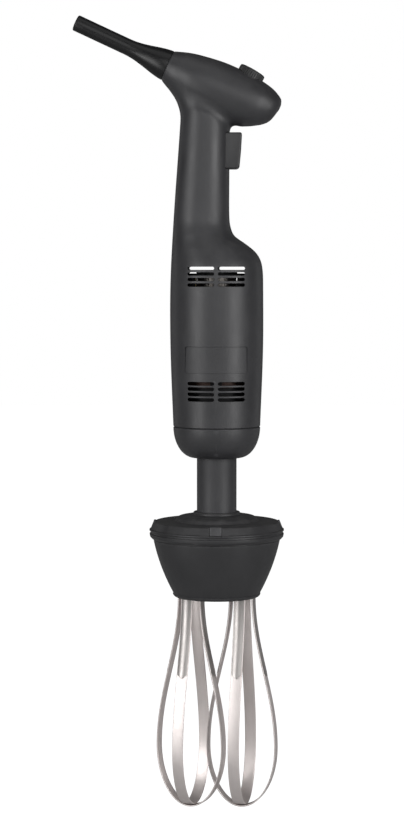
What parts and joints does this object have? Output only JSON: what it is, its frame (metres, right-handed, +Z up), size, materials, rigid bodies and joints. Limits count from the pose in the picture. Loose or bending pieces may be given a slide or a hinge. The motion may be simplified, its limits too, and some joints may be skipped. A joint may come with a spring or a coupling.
{
  "type": "hand mixer",
  "caption": "Upright stick-type hand mixer: vented motor body, trigger grip, speed dial, cord boot and a gearbox foot turning two steel strip whisks.",
  "frame": {"origin": "on the drive axis, where the bare stem leaves the underside of the nose cap", "axes": "+Z up the drive axis towards the grip, +X towards the trigger side, the case halves split on the XZ plane"},
  "size_m": [0.182, 0.1168, 0.6856],
  "materials": {
    "case_plastic": "fine satin-matte moulded black",
    "nose_plastic": "fine satin-matte moulded black",
    "label_plastic": "smooth blank label, dark grey",
    "stem_plastic": "satin black",
    "gearbox_plastic": "fine matte black",
    "clip_plastic": "matte black",
    "trigger_plastic": "satin dark grey",
    "dial_plastic": "satin black, ribbed",
    "boot_rubber": "smooth black rubber",
    "seal_rubber": "matte",
    "spider_rubber": "matte red elastomer",
    "whisk_steel": "brushed stainless strip",
    "finger_steel": "brushed stainless, rolled",
    "hub_steel": "machined stainless",
    "machined_steel": "machined",
    "gear_steel": "hardened, dark",
    "spring_steel": "drawn wire",
    "screw_steel": "zinc plated",
    "lamination_steel": "laminated, oxide grey",
    "bronze": "sintered",
    "brass": "stamped",
    "copper": "enamelled copper wire",
    "commutator_metal": "turned copper bars",
    "zinc": "die-cast",
    "carbon": "pressed carbon",
    "nylon": "natural nylon",
    "board": "coated fibreglass board",
    "switch_plastic": "moulded",
    "plunger_plastic": "moulded",
    "wire_insulation": "insulated wire",
    "bracket_plastic": "glass-filled nylon"
  },
  "bodies": {
    "root": {"housing_left": "case_plastic", "housing_right": "case_plastic", "housing_screws": "screw_steel", "label_plate": "label_plastic", "nose_cap": "nose_plastic", "stem_tube": "stem_plastic", "stem_screws": "screw_steel", "stem_bushings": "bronze", "shaft_seal": "seal_rubber", "gearbox_cover": "gearbox_plastic", "cover_clips": "clip_plastic", "gearbox_gasket": "seal_rubber", "gearbox_body": "gearbox_plastic", "gearbox_dowels": "machined_steel", "spindle_bushings": "bronze", "spindle_seals": "seal_rubber", "idler_pin": "machined_steel", "cord_boot": "boot_rubber", "cord_clamp": "zinc", "terminal_block": "nylon", "speed_board": "board", "potentiometer": "zinc", "switch_body": "switch_plastic", "power_wires": "wire_insulation", "motor_bracket_upper": "bracket_plastic", "motor_bracket_lower": "bracket_plastic", "stator_core": "lamination_steel", "field_coils": "copper", "motor_bearings": "machined_steel", "brush_holders": "brass", "carbon_brushes": "carbon", "brush_springs": "spring_steel", "trigger_spring": "spring_steel"},
    "rotor": {"armature_shaft": "machined_steel", "armature_core": "lamination_steel", "armature_windings": "copper", "commutator": "commutator_metal", "cooling_fan": "bracket_plastic", "motor_coupling": "zinc", "coupling_spider": "spider_rubber", "shaft_coupling": "zinc", "drive_shaft": "machined_steel", "drive_pinion": "gear_steel"},
    "idler": {"idler_gear": "gear_steel"},
    "left_spindle": {"spindle_left": "machined_steel", "spindle_gear_left": "nylon"},
    "right_spindle": {"spindle_right": "machined_steel", "spindle_gear_right": "nylon"},
    "left_whisk": {"whisk_hub_left": "hub_steel", "whisk_loop_a_left": "whisk_steel", "whisk_loop_b_left": "whisk_steel", "whisk_fingers_left": "finger_steel"},
    "right_whisk": {"whisk_hub_right": "hub_steel", "whisk_loop_a_right": "whisk_steel", "whisk_loop_b_right": "whisk_steel", "whisk_fingers_right": "finger_steel"},
    "trigger_unit": {"trigger": "trigger_plastic", "switch_plunger": "plunger_plastic"},
    "dial_unit": {"speed_dial": "dial_plastic", "dial_shaft": "machined_steel"}
  },
  "joints": [
    {"name": "drive_spin", "type": "hinge", "parent": "root", "child": "rotor", "pos_m": [0, 0, 0], "axis": [0, 0, 1], "continuous": true},
    {"name": "idler_spin", "type": "hinge", "parent": "root", "child": "idler", "pos_m": [-0.00605, 0.02323, 0], "axis": [0, 0, 1], "continuous": true},
    {"name": "left_spin", "type": "hinge", "parent": "root", "child": "left_spindle", "pos_m": [-0.02225, 0, 0], "axis": [0, 0, 1], "continuous": true},
    {"name": "right_spin", "type": "hinge", "parent": "root", "child": "right_spindle", "pos_m": [0.02225, 0, 0], "axis": [0, 0, 1], "continuous": true},
    {"name": "left_whisk_pull", "type": "slide", "parent": "left_spindle", "child": "left_whisk", "axis": [0, 0, -1], "range_m": [0, 0.02]},
    {"name": "right_whisk_pull", "type": "slide", "parent": "right_spindle", "child": "right_whisk", "axis": [0, 0, -1], "range_m": [0, 0.02]},
    {"name": "trigger_press", "type": "slide", "parent": "root", "child": "trigger_unit", "axis": [-1, 0, 0], "range_m": [0, 0.0045], "stiffness_N_per_m": 1000, "springref_m": -0.002, "deforming": ["trigger_spring"]},
    {"name": "dial_turn", "type": "hinge", "parent": "root", "child": "dial_unit", "pos_m": [0.0314, 0, 0.3332], "axis": [0.4955, 0, 0.8686], "range_deg": [0, 270]}
  ],
  "couplings": [
    {"joint": "idler_spin", "follows": "drive_spin", "ratio": -0.33333},
    {"joint": "left_spin", "follows": "drive_spin", "ratio": 0.090909},
    {"joint": "right_spin", "follows": "drive_spin", "ratio": -0.090909}
  ]
}
